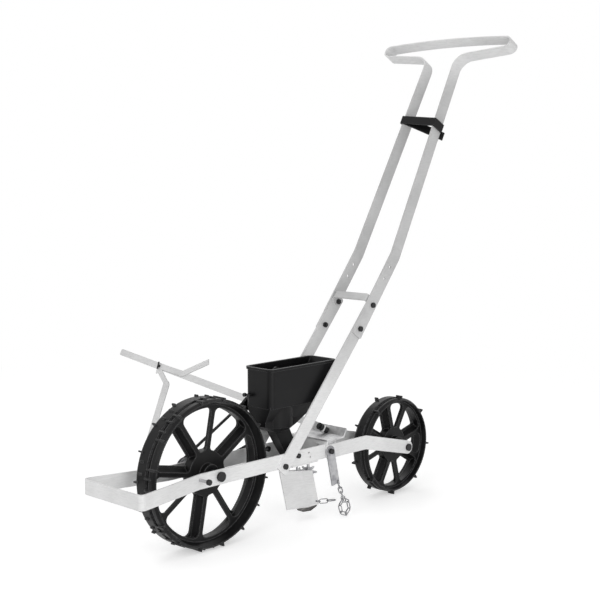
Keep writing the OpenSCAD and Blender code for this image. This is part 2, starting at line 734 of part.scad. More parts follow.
// Side view of the hopper's trough, and of the space inside it
lower_pts = [[hopper_x + 1.5, shoulder_z + 4], [hopper_rear - 6, shoulder_z + 4], [hopper_rear - 10, shoulder_z - 4],
             [seed_x + 68, outlet_z + 25], [seed_x + 40, outlet_z + 10], [seed_x + 16, outlet_z], [seed_x - 18, outlet_z],
             [hopper_x + 1.5, outlet_z + 14]];
funnel_pts = [[hopper_x + 4.5, shoulder_z + 6], [hopper_rear - 10, shoulder_z + 6], [hopper_rear - 14, shoulder_z - 2],
              [seed_x + 64, outlet_z + 28], [seed_x + 16, outlet_z + 15.5], [seed_x - 16, outlet_z + 15.5],
              [hopper_x + 4.5, outlet_z + 26]];

// Front view of the trough: straight at the roller, opening out to half width y at the shoulder
module trough(low, y, top) {
  translate([hopper_x - 5, 0, 0]) rotate([90, 0, 90]) linear_extrude(hopper_l) polygon([
    [-low, outlet_z - 5], [low, outlet_z - 5], [low, seed_z + 4], [y, shoulder_z], [y, top], [-y, top], [-y, shoulder_z], [-low, seed_z + 4]]);
}

module cup(r, z0, z1, r0) translate([cup_x, 0, z0]) cylinder(r1 = r0, r2 = r, h = z1 - z0, $fn = 96);

module hopper() color([0.06, 0.06, 0.065]) placed() difference() {
  union() {
    upper_shell(0);
    intersection() {
      side(-hopper_y, 2 * hopper_y) polygon(lower_pts);
      trough(trough_y, 33, shoulder_z + 10);
    }
    cup(cup_r, outlet_z + 9, shoulder_z + 2, cup_r - 1);
    pin(seed_x, seed_z, 9, trough_y - 1, hopper_y);
    translate([0, 0, hopper_z - lip_h]) linear_extrude(lip_h)
      rounded(hopper_x - bead_r, hopper_x + hopper_l + bead_r, hopper_y + bead_r, hopper_round + bead_r);
  }
  upper_shell(hopper_wall);
  intersection() {
    side(-hopper_y, 2 * hopper_y) polygon(funnel_pts);
    trough(trough_y - hopper_wall, ledge_y, shoulder_z + 10);
  }
  cup(ledge_y, seed_z + 9, shoulder_z + 3, trough_y - hopper_wall);
  difference() {
    cup(cup_r - hopper_wall, outlet_z - 1, seed_z + 5.5, cup_r - hopper_wall - 0.6);
    block(hopper_x, hopper_x + hopper_l, -trough_y, trough_y, outlet_z - 2, seed_z + 10);
    pin(seed_x, seed_z, 9, -cup_r, cup_r);
  }
  pin(seed_x, seed_z, seed_roller_r + roller_gap, -roller_half - 0.4, roller_half + 0.4);
  pin(seed_x, seed_z, shaft_clear, -cup_r + 4, hopper_y + 1);
  block(outlet_x[0], outlet_x[1], -9, 9, outlet_z - 6, seed_z);
}

module seed_baffle() color([0.1, 0.1, 0.1]) placed() {
  side(-1.5, 3) {
    translate([seed_x - 8, shoulder_z + 4]) square([24, hopper_z - shoulder_z - 20]);
    translate([seed_x + 4, hopper_z - 16]) circle(12);
  }
  block(seed_x - 8, seed_x + 16, -hopper_y + hopper_wall + 1, hopper_y - hopper_wall - 1, shoulder_z + 2.5, shoulder_z + 4.5);
}

module hopper_studs() color([0.09, 0.09, 0.09]) placed() for (y = [20, 32]) translate([hopper_x, y, 273]) {
  translate([-6, 0, 0]) rotate([0, 90, 0]) cylinder(r = 2, h = 6);
  translate([-9, 0, 0]) rotate([0, 90, 0]) cylinder(r = 4, h = 4);
}

chute_y = 12;
chute_x = 239;
chute_pts = [[seed_x - 12, outlet_z], [seed_x + 16, outlet_z], [seed_x + 28, outlet_z + 4.6], [seed_x + 44, rail_bottom + 40],
             [chute_x + 16, rail_bottom], [chute_x - 16, rail_bottom], [seed_x + 14, rail_bottom + 26]];
bore_pts = [[seed_x - 9, outlet_z + 1], [seed_x + 9, outlet_z + 1], [seed_x + 26, outlet_z - 4], [seed_x + 40, rail_bottom + 38],
            [chute_x + 12, rail_bottom - 1], [chute_x - 12, rail_bottom - 1], [seed_x + 17, rail_bottom + 27]];

module seed_chute() color([0.07, 0.07, 0.07]) placed() difference() {
  union() {
    side(-chute_y, 2 * chute_y) polygon(chute_pts);
    block(chute_x - 8, chute_x + 8, -chute_y - 9, chute_y + 9, rail_bottom, rail_bottom + 3);
  }
  side(-chute_y + 2, 2 * chute_y - 4) polygon(bore_pts);
  for (k = [-1, 1]) translate([chute_x, k * (chute_y + 5), rail_bottom - 1]) cylinder(r = 2, h = 5);
}

module chute_screws() color([0.35, 0.35, 0.36]) placed() for (k = [-1, 1]) translate([chute_x, k * (chute_y + 5), plate_z]) {
  cylinder(r = 2, h = plate_t + 3);
  translate([0, 0, plate_t + 3]) cylinder(r = 3.6, h = 2.2);
}

// Belt over two pulleys, with its runs tangent to both
drive_c = [0, front_wheel_r];
driven_c = [seed_x, seed_z];
belt_d = driven_c - drive_c;
belt_a = atan2(belt_d[1], belt_d[0]);
belt_b = asin((driven_r - drive_r) / norm(belt_d));

module belt_run(k) {
  u = unit(belt_a + k * (belt_b + 90));
  strip(drive_c + u * drive_r, driven_c + u * driven_r, 2 * belt_r);
}

// Belt around one pulley, over the half angle h on each side of the bearing m
module belt_wrap(c, r, m, h) {
  translate(c) intersection() {
    difference() {
      circle(r + belt_r - nick, $fn = 96);
      circle(r - belt_r + nick, $fn = 96);
    }
    polygon([unit(m) * -eps, unit(m - h) * 3 * r, unit(m - h * 0.4) * 5 * r, unit(m + h * 0.4) * 5 * r, unit(m + h) * 3 * r]);
  }
}

module drive_belt() color([0.04, 0.04, 0.04]) placed() side(belt_y - belt_r, 2 * belt_r) {
  for (k = [-1, 1]) belt_run(k);
  belt_wrap(drive_c, drive_r, belt_a + 180, 90 - belt_b + 1);
  belt_wrap(driven_c, driven_r, belt_a, 90 + belt_b + 0.6);
}

module pulley(c, r, hub_y, bore) {
  translate([c[0], belt_y, c[1]]) rotate([90, 0, 0]) rotate_extrude($fn = 96) difference() {
    union() {
      translate([bore, -pulley_half]) square([r + pulley_lip - bore, 2 * pulley_half]);
      translate([bore, 0]) square([6, belt_y - hub_y]);
    }
    translate([r - belt_r - run_fit, -belt_r - belt_gap]) square([20, 2 * (belt_r + belt_gap)]);
  }
}

module drive_pulley() color([0.62, 0.62, 0.63]) placed() pulley(drive_c, drive_r, rail_y + 0.5 + hub_gap, front_axle_r);
module seed_pulley() color([0.1, 0.1, 0.1]) placed() difference() {
  pulley(driven_c, driven_r, hopper_y + hub_gap, seed_shaft_r);
  for (i = [0:4]) {
    p = driven_c + unit(72 * i + 18) * (driven_r * 0.55);
    pin(p[0], p[1], driven_r * 0.2, belt_y - 10, belt_y + 10);
  }
}

module seed_shaft() color([0.5, 0.5, 0.51]) placed() {
  pin(seed_x, seed_z, seed_shaft_r, -cup_r + 4.5, belt_y + pulley_half);
  pin(seed_x, seed_z, seed_shaft_r + 2.5, belt_y + pulley_half, belt_y + pulley_half + 3);
}

module seed_roller() color([0.75, 0.72, 0.6]) placed() difference() {
  pin(seed_x, seed_z, seed_roller_r, -roller_half, roller_half);
  pin(seed_x, seed_z, seed_shaft_r, -roller_half - 1, roller_half + 1);
  for (i = [0:seed_pockets - 1]) {
    p = driven_c + unit(360 * i / seed_pockets) * seed_roller_r;
    translate([p[0], 0, p[1]]) sphere(r = 2, $fn = 24);
  }
}

// ---- opener ----

module opener_bracket() color([0.84, 0.84, 0.85]) placed() difference() {
  union() {
    block(bracket_x, bracket_x + bracket_l, -rail_y, rail_y, plate_z, rail_bottom);
    block(bracket_x + bracket_l - 1, stud_x + 10, -9, 9, plate_z, rail_bottom);
    for (y = [-rail_in, rail_in - plate_t]) block(bracket_x, bracket_x + 32, y, y + plate_t, plate_z, rail_z + bar_h / 2 - 3);
  }
  block(chute_x - 12, guide_x - guide_r - 2, -9, 9, plate_z - 1, rail_bottom + 1);
  translate([stud_x, 0, plate_z - 1]) cylinder(r = stud_r, h = plate_t + 2);
  translate([guide_x, 0, plate_z - 1]) cylinder(r = guide_r, h = plate_t + 2);
  pin(bracket_bolt[0], bracket_bolt[1], bolt_r, -rail_y, rail_y);
  for (k = [-1, 1]) translate([chute_x, k * (chute_y + 5), plate_z - 1]) cylinder(r = 2, h = plate_t + 2);
}
bracket_x = 193;
bracket_l = 73;

module opener_stud() color([0.6, 0.6, 0.61]) placed() {
  translate([stud_x, 0, 56]) cylinder(r = stud_r, h = rail_bottom - 56);
  translate([guide_x, 0, 66]) cylinder(r = guide_r, h = rail_bottom - 66);
}

// The opener's sheets, drawn square to its leaning front edge
lean_a = atan(shoe_lean / (shoe_top - shoe_bottom));
crease_l = 56;
rear_l = 18;
crease_pt = [crease_l, crease_y];
rear_pt = [crease_l + rear_l, shoe_y];
flare_u = (rear_pt - crease_pt) / norm(rear_pt - crease_pt);

module leaning() translate([shoe_x, 0, shoe_top]) rotate([0, -lean_a, 0]) children();

cut_top = [shoe_x + 61, shoe_top - 10];
cut_low = [shoe_x + 79, shoe_bottom - 5];
cut_front = [shoe_x + 10, shoe_bottom + 1];
cut_rear = [shoe_x + 110, shoe_bottom + 4];

module opener_shoe() color([0.84, 0.84, 0.85]) placed() difference() {
  intersection() {
    leaning() translate([0, 0, -120]) linear_extrude(160) for (k = [-1, 1]) {
      strip([0, 0], [crease_pt[0], k * crease_pt[1]], shoe_t);
      translate([crease_pt[0], k * crease_pt[1]]) circle(shoe_t / 2 - nick);
      strip([crease_pt[0], k * crease_pt[1]], [rear_pt[0], k * rear_pt[1]], shoe_t);
    }
    side(-40, 80) polygon([[shoe_x - 10, shoe_top + 1.5], cut_top, [shoe_x + 95, shoe_top - 9], cut_rear, cut_low, cut_front,
                           [shoe_x - 10, shoe_bottom + 2]]);
  }
  pin(chain_x, chain_z, hole_r, -shoe_y - 5, 0);
}

chain_x = 293.5;
chain_z = 33.5;
chain_u = (chain_x - shoe_x - (shoe_top - chain_z) * tan(lean_a)) * cos(lean_a) - crease_l;
chain_hole_y = -crease_y - chain_u * (shoe_y - crease_y) / rear_l;
flare_az = -atan((shoe_y - crease_y) / rear_l);

module opener_foot() color([0.3, 0.3, 0.31]) placed() side(-8, 16) {
  f = cut_front + (cut_low - cut_front) * 0.64;
  r = cut_low + (cut_rear - cut_low) * 0.72;
  polygon([f, cut_low, r, r + [2, -foot_h], cut_low + [6, -foot_h], f + [8, -foot_h]]);
}

module opener_web() color([0.8, 0.8, 0.81]) placed() difference() {
  intersection() {
    leaning() translate([0, 0, -40]) linear_extrude(60) {
      n = [flare_u[1], -flare_u[0]] * (shoe_t / 2 + 0.1);
      c = crease_pt + n;
      r = rear_pt + n;
      polygon([c, r, [r[0] + 14, r[1]], [r[0] + 14, -r[1]], [r[0], -r[1]], [c[0], -c[1]]]);
    }
    block(shoe_x + 40, stud_x + 9, -40, 40, web_z, web_z + web_t);
  }
  translate([stud_x, 0, web_z - 1]) cylinder(r = stud_r + run_fit, h = web_t + 2);
}

module wing_nut() color([0.72, 0.72, 0.73]) placed() translate([stud_x, 0, web_z + web_t]) difference() {
  union() {
    cylinder(r = 5.5, h = 7);
    rotate(-45) for (k = [0, 180]) rotate(k) translate([0, 1.2, 0]) rotate([90, 0, 0]) linear_extrude(2.4)
      polygon([[4, 0.5], [11, 3.5], [13.5, 8.5], [10.5, 10], [4, 6]]);
  }
  translate([0, 0, -1]) cylinder(r = stud_r + run_fit, h = 12);
}

module lock_nut() color([0.5, 0.5, 0.51]) placed() translate([stud_x, 0, web_z - nut_h]) difference() {
  cylinder(r = 5.8, h = nut_h, $fn = 6);
  translate([0, 0, -1]) cylinder(r = stud_r + run_fit, h = nut_h + 2);
}

// ---- drag chain and its strap ----

function heading(az, el) = [cos(el) * cos(az), cos(el) * sin(az), sin(el)];

// One oval link of length l lying along X, its flat turned by roll
module link(p, az, el, roll, l) {
  c = (l - link_w) / 2;
  translate(p) rotate([0, -el, az]) rotate([roll, 0, 0]) {
    for (k = [0, 180]) rotate(k) translate([c, 0, 0]) intersection() {
      rotate_extrude($fn = 32) translate([link_w / 2, 0]) circle(wire_r, $fn = 16);
      translate([0, -link_w, -link_w]) cube(2 * link_w);
    }
    if (c > 0) for (y = [-1, 1]) translate([-c, y * link_w / 2, 0]) rotate([0, 90, 0]) cylinder(r = wire_r, h = 2 * c, $fn = 16);
  }
}

strap_y = leg_y + 0.4;
strap_end = strap_pt + unit(strap_lean - 90) * strap_l;

module drag_strap() color([0.7, 0.7, 0.71]) placed() side(-strap_y - strap_t, strap_t) difference() {
  union() {
    translate(strap_pt) circle(strap_w / 2 - nick);
    strip(strap_pt, strap_end, strap_w);
  }
  translate(strap_pt) circle(bolt_r + run_fit);
  translate(hole_pt) circle(hole_r);
}

module strap_bolt() color([0.1, 0.1, 0.1]) placed() {
  y = strap_y + strap_t + 0.3;
  shank(strap_pt, -1, leg_y - 2 * bar_t - nut_h - 1, y);
  shank(strap_pt, -1, y, y + 5, 5.6);
  shank(strap_pt, 1, leg_y - 2 * bar_t - nut_h - 1, leg_y);
  shank(strap_pt, 1, leg_y, leg_y + 5, 5.6);
}

module strap_nut() color([0.3, 0.3, 0.31]) placed() for (k = [-1, 1]) nuts(strap_pt, k, leg_y - 2 * bar_t);

// Chains: middle of each link from the hole that carries it, then its bearing, slope and roll
chain_y = -strap_y - strap_t / 2;
hole_r = 2;
hole_pt = strap_end - unit(strap_lean - 90) * 4.2 + left(unit(strap_lean - 90)) * 6.8;
hanging_links = [[[6.84, 0, -15.63], [0, -70, 90]], [[11.96, 0, -33.46], [0, -78, 0]],
                 [[13.89, 0, -51.86], [0, -90, 90]], [[17.84, -2.25, -48.34], [0.2, -70, 90]],
                 [[25.39, -4.26, -64.83], [-25.8, -63.2, -22]], [[34.11, -12.38, -68.85], [-42.3, 26.6, 54.2]]];
drag_links = [[[15.15, -7.46, -1.57], [-20, -3, 90]], [[32.97, -12.57, -2.38], [-12, -2, 0]]];

module chain(hole, ring, links) {
  link(hole + heading(ring[0], ring[1]) * (link_w / 2), ring[0], ring[1], 0, link_w);
  for (q = links) link(hole + q[0], q[1][0], q[1][1], q[1][2], link_l);
}

module hanging_chain() color([0.66, 0.66, 0.67]) placed()
  chain([hole_pt[0], chain_y, hole_pt[1]], [0, -62], hanging_links);

module drag_chain() color([0.66, 0.66, 0.67]) placed() chain([chain_x, chain_hole_y, chain_z], [flare_az, -8], drag_links);

// ---- row marker ----

module marker_frame() translate([plate_c[0], 0, plate_c[1]]) rotate([0, 180 - marker_slope, 0]) rotate([0, 0, 90]) children();

module marker_plate() color([0.8, 0.8, 0.81]) placed() difference() {
  low = (wall_top + plate_t / 2 - plate_c[1]) / sin(marker_slope);
  knee_x = plate_c[0] + low * cos(marker_slope);
  union() {
    marker_frame() translate([-plate_half, low, -plate_t / 2]) cube([2 * plate_half, plate_h - low, plate_t]);
    pin(knee_x, wall_top + plate_t / 2, plate_t / 2 + 0.1, -plate_half, plate_half);
    block(rail_end_x + bar_t - 3, knee_x, -plate_half, plate_half, wall_top, wall_top + plate_t);
    for (y = [-leg_y + bar_t, leg_y - bar_t - plate_t])
      block(rail_end_x + bar_t + 1, rail_end_x + bar_t + 24, y, y + plate_t, strap_pt[1] - 9, wall_top + 1);
  }
  marker_frame() translate([0, 0, -5]) cylinder(r = pivot_r, h = 10);
  pin(strap_pt[0], strap_pt[1], bolt_r, -leg_y, leg_y);
}
plate_half = 50;
plate_h = 12.5;

module marker_pivot() color([0.08, 0.08, 0.08]) placed() marker_frame() {
  translate([0, 0, -arm_off - arm_t - 12]) cylinder(r = pivot_r, h = arm_off + arm_t + 12 + plate_t / 2 + 5);
  translate([0, 0, -arm_off + 0.3]) cylinder(r = 6.5, h = arm_off - 0.3 - plate_t / 2);
  translate([0, 0, -arm_off - arm_t - 8.3]) cylinder(r = 7.5, h = 8);
  translate([0, 0, plate_t / 2]) cylinder(r = 7, h = 5);
}

module marker_arm() color([0.86, 0.86, 0.87]) placed() marker_frame() difference() {
  translate([0, 0, -arm_off - arm_t]) linear_extrude(arm_t)
    bar2d([0, 0], unit(arm_angle) * arm_l, arm_w, arm_end);
  translate([0, 0, -arm_off - arm_t - 1]) cylinder(r = pivot_r + run_fit, h = arm_t + 2);
}

// Marker blade: a strip along the arm with its tail turned up, and a leg down to the ground
blade_t = 2.5;
blade_gap = 0.3;
blade_z = -arm_off - arm_t - blade_gap - blade_t;
blade_pts = [[clamp_at + 8, 0], [clamp_at - 90, 2], [clamp_at - 158, 50]];
tab_pts = [[clamp_at, 0], [clamp_at - 6, -17]];
leg_x = 348.6;
leg_w = 1.25 * arm_w;
leg_pts = [[clamp_at - 15, rail_z + 86.5], [clamp_at - 39, rail_z + 58.5], [clamp_at + 51, leg_w / 2]];

module marker_blade() color([0.84, 0.84, 0.85]) placed() {
  marker_frame() translate([0, 0, blade_z]) linear_extrude(blade_t) rotate(arm_angle) difference() {
    union() {
      for (i = [0, 1]) strip(blade_pts[i], blade_pts[i + 1], arm_w - 2);
      translate(blade_pts[1]) circle(arm_w / 2 - 1 - nick);
      strip(tab_pts[0], tab_pts[1], arm_w);
    }
    translate([clamp_at, 0]) circle(bolt_r);
  }
  translate([leg_x, 0, 0]) rotate([90, 0, 90]) linear_extrude(blade_t) {
    strip(leg_pts[0], leg_pts[1], arm_w);
    strip(leg_pts[1], leg_pts[2], leg_w);
    for (i = [1, 2]) translate(leg_pts[i]) circle(leg_w / 2 - nick);
  }
}

module clamp_screw() color([0.1, 0.1, 0.1]) placed() marker_frame() rotate(arm_angle) {
  translate([clamp_at, 0, blade_z - 4]) cylinder(r = 3.4, h = 4);
  translate([clamp_at, 0, blade_z]) cylinder(r = bolt_r, h = blade_t);
  translate([clamp_at, 0, blade_z - 6]) rotate(70) translate([-9, -2, 0]) cube([18, 4, 2]);
}

front_frame();
rear_frame();
frame_rivets();
axle_bushes();
rear_axle();
rear_axle_nut();
rear_spacers();
standoff_bolt();
lower_handle_left();
lower_handle_right();
upper_handle();
handle_bracket();
joint_bolts();
joint_nuts();
rail_bolts();
rail_nuts();
handle_clip();
hopper();
seed_baffle();
hopper_studs();
seed_chute();
chute_screws();
opener_bracket();
opener_stud();
marker_plate();
marker_pivot();
strap_bolt();
strap_nut();
drag_strap();
hanging_chain();
drive_belt();
front_wheel();
front_axle();
front_axle_nut();
drive_pulley();
axle_spacer();
rear_wheel();
rear_hub_bush();
seed_shaft();
seed_roller();
seed_pulley();
opener_shoe();
opener_foot();
opener_web();
wing_nut();
lock_nut();
drag_chain();
marker_arm();
marker_blade();
clamp_screw();
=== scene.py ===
import bpy
import bmesh
import json
from math import pi, radians, sin, cos, atan2, asin
from mathutils import Matrix, Vector


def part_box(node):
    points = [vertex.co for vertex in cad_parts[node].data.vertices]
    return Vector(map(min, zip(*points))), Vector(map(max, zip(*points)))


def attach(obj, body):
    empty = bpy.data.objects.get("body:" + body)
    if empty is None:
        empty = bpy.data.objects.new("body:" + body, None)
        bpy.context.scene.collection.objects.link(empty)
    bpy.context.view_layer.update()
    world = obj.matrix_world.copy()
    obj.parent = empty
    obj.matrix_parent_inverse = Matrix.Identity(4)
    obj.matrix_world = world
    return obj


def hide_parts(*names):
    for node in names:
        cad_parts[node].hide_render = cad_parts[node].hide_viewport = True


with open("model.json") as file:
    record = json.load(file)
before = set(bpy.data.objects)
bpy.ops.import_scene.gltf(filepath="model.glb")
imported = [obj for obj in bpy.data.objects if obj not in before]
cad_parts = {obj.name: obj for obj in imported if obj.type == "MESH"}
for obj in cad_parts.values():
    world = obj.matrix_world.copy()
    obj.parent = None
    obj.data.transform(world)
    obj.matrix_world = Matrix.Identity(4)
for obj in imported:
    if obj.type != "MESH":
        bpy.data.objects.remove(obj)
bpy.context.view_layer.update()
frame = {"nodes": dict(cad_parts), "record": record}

print("frame loaded:", len(frame["nodes"]), "nodes")


def centre(node):
    low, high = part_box(node)
    return (low + high) / 2


def addObject(name, data):
    made = bpy.data.objects.new(name, data)
    bpy.context.scene.collection.objects.link(made)
    return made


# the camera's place and the chain's points are measured from the ground under the front axle
axle = centre("front_wheel")
ground = Vector((axle.x, axle.y, 0.0))

cameraSet = {
    "place": Vector((-1.48286985, -1.70836899, 0.72425902)),
    "right": Vector((0.6991508, -0.71496998, -0.0024674)),
    "up": Vector((0.08000146, 0.07480107, 0.99398419)),
    "back": Vector((-0.71048429, -0.69514224, 0.10949587)),
    "lens": 72.5958, "sensor": 36.0, "near": 0.05, "far": 60.0,
}


def addCamera(c):
    data = bpy.data.cameras.new("view")
    data.lens = c["lens"]
    data.sensor_width = c["sensor"]
    data.clip_start = c["near"]
    data.clip_end = c["far"]
    camera = addObject("view", data)
    turn = Matrix((c["right"], c["up"], c["back"])).transposed().to_4x4()
    camera.matrix_world = Matrix.Translation(ground + c["place"]) @ turn
    bpy.context.scene.camera = camera


addCamera(cameraSet)
print("camera placed")

bevelSamples = 6
edgeBand = (0.02, 0.22)  # how far the rounded normal leaves the plain one, where an edge begins and is full


class Wire:
    # one output socket; sums, differences and products of wires add Math nodes
    def __init__(self, tree, socket):
        self.tree = tree
        self.socket = socket

    def maths(self, operation, a, b, clamp=False):
        return self.tree.node("ShaderNodeMath", {"operation": operation, "use_clamp": clamp}, {0: a, 1: b})

    def __add__(self, other): return self.maths("ADD", self, other)
    def __radd__(self, other): return self.maths("ADD", other, self)
    def __sub__(self, other): return self.maths("SUBTRACT", self, other)
    def __rsub__(self, other): return self.maths("SUBTRACT", other, self)
    def __mul__(self, other): return self.maths("MULTIPLY", self, other)
    def __rmul__(self, other): return self.maths("MULTIPLY", other, self)

    def clamped(self):
        return self.maths("ADD", self, 0.0, clamp=True)

    def dot(self, other):
        return self.tree.node("ShaderNodeVectorMath", {"operation": "DOT_PRODUCT"}, {0: self, 1: other}, "Value")

    def length(self):
        return self.tree.node("ShaderNodeVectorMath", {"operation": "LENGTH"}, {0: self}, "Value")


class Tree:
    # a node tree, filled through one method
    def __init__(self, owner):
        owner.use_nodes = True
        self.nodes = owner.node_tree.nodes
        self.links = owner.node_tree.links
        self.nodes.clear()

    def node(self, kind, settings=None, inputs=None, output=0):
        made = self.nodes.new(kind)
        for key, value in (settings or {}).items():
            setattr(made, key, value)
        for key, value in (inputs or {}).items():
            self.feed(made.inputs[key], value)
        return Wire(self, made.outputs[output]) if made.outputs else None

    def feed(self, socket, value):
        # a wire is linked, and a plain value is set on the socket
        if isinstance(value, Wire):
            self.links.new(value.socket, socket)
        else:
            socket.default_value = value

    def mixShader(self, mask, a, b):
        return self.node("ShaderNodeMixShader", None, {0: mask, 1: a, 2: b})

    def seen(self):
        # 1 for what the camera sees, also mirrored or through something, and 0 for the light on the machine
        camera, glossy, through = (self.node("ShaderNodeLightPath", output="Is %s Ray" % ray)
                                   for ray in ("Camera", "Glossy", "Transmission"))
        return (camera + glossy + through).clamped()


class Finish(Tree):
    # one material and the nodes that make it
    def __init__(self, name, roughness=0.5, metallic=0.0):
        self.material = bpy.data.materials.new(name)
        super().__init__(self.material)
        self.shader = self.node("ShaderNodeBsdfPrincipled", None, {"Roughness": roughness, "Metallic": metallic})
        self.place = self.node("ShaderNodeTexCoord", output="Object")

    def put(self, key, value):
        self.feed(self.shader.socket.node.inputs[key], value)

    def done(self, surface=None):
        self.node("ShaderNodeOutputMaterial", None, {"Surface": surface or self.shader})
        return self.material

    def axis(self, letter):
        return self.node("ShaderNodeSeparateXYZ", None, {"Vector": self.place}, letter)

    def noise(self, scale, detail, rough=0.55, stretch=None):
        place = self.place
        if stretch:
            place = self.node("ShaderNodeMapping", None, {"Vector": place, "Scale": stretch})
        return self.node("ShaderNodeTexNoise", None,
                         {"Vector": place, "Scale": scale, "Detail": detail, "Roughness": rough})

    def spread(self, wire, low, high):
        # 0 below low, 1 above high and smooth between them
        return self.node("ShaderNodeMapRange", {"interpolation_type": "SMOOTHSTEP"},
                         {"Value": wire, "From Min": low, "From Max": high})

    def blend(self, mask, a, b):
        # colour a where the mask is 0, colour b where it is 1
        a, b = (colour if isinstance(colour, Wire) else (*colour, 1.0) for colour in (a, b))
        return self.node("ShaderNodeMix", {"data_type": "RGBA"}, {0: mask, 6: a, 7: b}, output=2)

    def soft(self, radius):
        # the normal with its corners rounded
        return self.node("ShaderNodeBevel", {"samples": bevelSamples}, {"Radius": radius})

    def edges(self, soft):
        # 1 on sharp edges, where the rounded normal leaves the plain one
        plain = self.node("ShaderNodeNewGeometry", output="Normal")
        return self.spread(1.0 - soft.dot(plain), *edgeBand)

    def relief(self, height, depth, normal=None):
        inputs = {"Height": height, "Distance": depth, "Strength": 1.0}
        if normal:
            inputs["Normal"] = normal
        self.put("Normal", self.node("ShaderNodeBump", None, inputs))


# in each finish: noise scales in waves per metre, edge radius and depth of relief in metres,
# pairs where a mask begins and is full, and shares of how much each mask adds
coatSet = {
    # shade is the grey of the painted shade up the handle bars; the darker grey after it is painted shade on the
    # edges
    "colour": (0.86, 0.86, 0.86), "shade": (0.50, 0.50, 0.50),
    "rim": (0.22, 0.22, 0.22), "worn": (0.34, 0.335, 0.33),
    "roughness": 0.34, "coat": 0.25, "coatRoughness": 0.25, "edge": 0.0009, "depth": 0.00004,
    "cloud": {"scale": 9.0, "detail": 4.0},
    "peel": {"scale": 1400.0, "detail": 2.0, "rough": 0.4},
    "specks": {"scale": 420.0, "detail": 2.0, "rough": 0.6},
    "strokes": {"scale": 60.0, "detail": 4.0, "rough": 0.7, "stretch": (1.0, 1.0, 9.0)},
    "barsFrom": (0.24, 0.45), "barsTo": (0.88, 0.96),
    "clouded": (0.35, 0.70), "streaked": (0.45, 0.62), "brushed": (0.40, 0.72),
    "specked": (0.50, 0.66), "rubbed": (0.42, 0.60),
    "barShare": 0.70, "cloudShare": 0.30, "edgeShare": 0.42, "streakShare": 0.10, "wornShare": 0.8,
    "wornMetal": 0.6, "brushedRoughness": 0.10, "cloudRoughness": 0.06, "strokeHeight": 0.4,
}


def coatedSteel(s):
    # a coat that is greyer up the handle bars as painted shade, dark on its edges as painted shade with streaks,
    # and worn through in specks
    f = Finish("coatedSteel")
    soft = f.soft(s["edge"])
    edge = f.edges(soft)
    cloud = f.noise(**s["cloud"])
    strokes = f.noise(**s["strokes"])
    height = f.axis("Z")
    # painted shade: the coat darkens up the handle bars and grows lighter again at the grip, mixed with real
    # clouds of tone
    bars = f.spread(height, *s["barsFrom"]) - f.spread(height, *s["barsTo"])
    heightShadeAndClouds = (s["barShare"] * bars + s["cloudShare"] * f.spread(cloud, *s["clouded"])).clamped()
    # painted shade along every edge, with real streaks along the bars
    rim = (s["edgeShare"] * edge + s["streakShare"] * f.spread(strokes, *s["streaked"])).clamped()
    specks = f.spread(f.noise(**s["specks"]), *s["specked"])
    worn = (edge * specks * f.spread(cloud, *s["rubbed"])).clamped()
    tone = f.blend(rim, f.blend(heightShadeAndClouds, s["colour"], s["shade"]), s["rim"])
    brushed = f.spread(strokes, *s["brushed"])
    f.put("Base Color", f.blend(worn * s["wornShare"], tone, s["worn"]))
    f.put("Roughness", s["roughness"] + s["brushedRoughness"] * brushed + s["cloudRoughness"] * cloud)
    f.put("Metallic", worn * s["wornMetal"])
    f.put("Coat Weight", s["coat"])
    f.put("Coat Roughness", s["coatRoughness"])
    f.relief(f.noise(**s["peel"]) + s["strokeHeight"] * strokes, s["depth"], soft)
    return f.done()


zincSet = {
    "metallic": 0.92, "depth": 0.00003, "flakeScale": 260.0,
    "patch": {"scale": 70.0, "detail": 4.0}, "fine": {"scale": 900.0, "detail": 3.0},
    "patched": (0.35, 0.70), "patchShare": 0.7, "flakeShare": 0.2, "edgeShare": 0.3,
    "patchRoughness": 0.18, "flakeRoughness": 0.05,
    "fittings": {"light": (0.66, 0.66, 0.67), "dark": (0.30, 0.30, 0.32), "roughness": 0.34, "edge": 0.0004},
    "plate": {"light": (0.66, 0.66, 0.66), "dark": (0.42, 0.42, 0.43), "roughness": 0.40, "edge": 0.0006},
    "strap": {"light": (0.50, 0.50, 0.51), "dark": (0.24, 0.24, 0.26), "roughness": 0.38, "edge": 0.0006},
    "chain": {"light": (0.42, 0.42, 0.43), "dark": (0.10, 0.10, 0.11), "roughness": 0.28, "edge": 0.0003},
}


def zincPlate(name, s, kind):
    # plating in dull patches, with small flakes
    z = s[kind]
    f = Finish(name, metallic=s["metallic"])
    soft = f.soft(z["edge"])
    edge = f.edges(soft)
    flakes = f.node("ShaderNodeTexVoronoi", {"feature": "F1"},
                    {"Vector": f.place, "Scale": s["flakeScale"]}, "Distance")
    patch = f.spread(f.noise(**s["patch"]), *s["patched"])
    dull = (patch * s["patchShare"] + s["flakeShare"] * flakes - s["edgeShare"] * edge).clamped()
    f.put("Base Color", f.blend(dull, z["light"], z["dark"]))
    f.put("Roughness", z["roughness"] + s["patchRoughness"] * patch + s["flakeRoughness"] * flakes)
    f.relief(f.noise(**s["fine"]), s["depth"], soft)
    return f.done()


boltSet = {
    "colour": (0.012, 0.012, 0.013), "worn": (0.10, 0.10, 0.10),
    "roughness": 0.36, "edge": 0.0005, "depth": 0.00003,
    "patch": {"scale": 240.0, "detail": 3.0}, "fine": {"scale": 1500.0, "detail": 2.0},
    "patched": (0.42, 0.62), "metallic": 0.35, "wornMetal": 0.4, "patchRoughness": 0.14,
}


def blackOxide(s):
    f = Finish("blackOxide")
    soft = f.soft(s["edge"])
    patch = f.noise(**s["patch"])
    worn = (f.edges(soft) * f.spread(patch, *s["patched"])).clamped()
    f.put("Base Color", f.blend(worn, s["colour"], s["worn"]))
    f.put("Metallic", s["metallic"] + s["wornMetal"] * worn)
    f.put("Roughness", s["roughness"] + s["patchRoughness"] * patch)
    f.relief(f.noise(**s["fine"]), s["depth"], soft)
    return f.done()


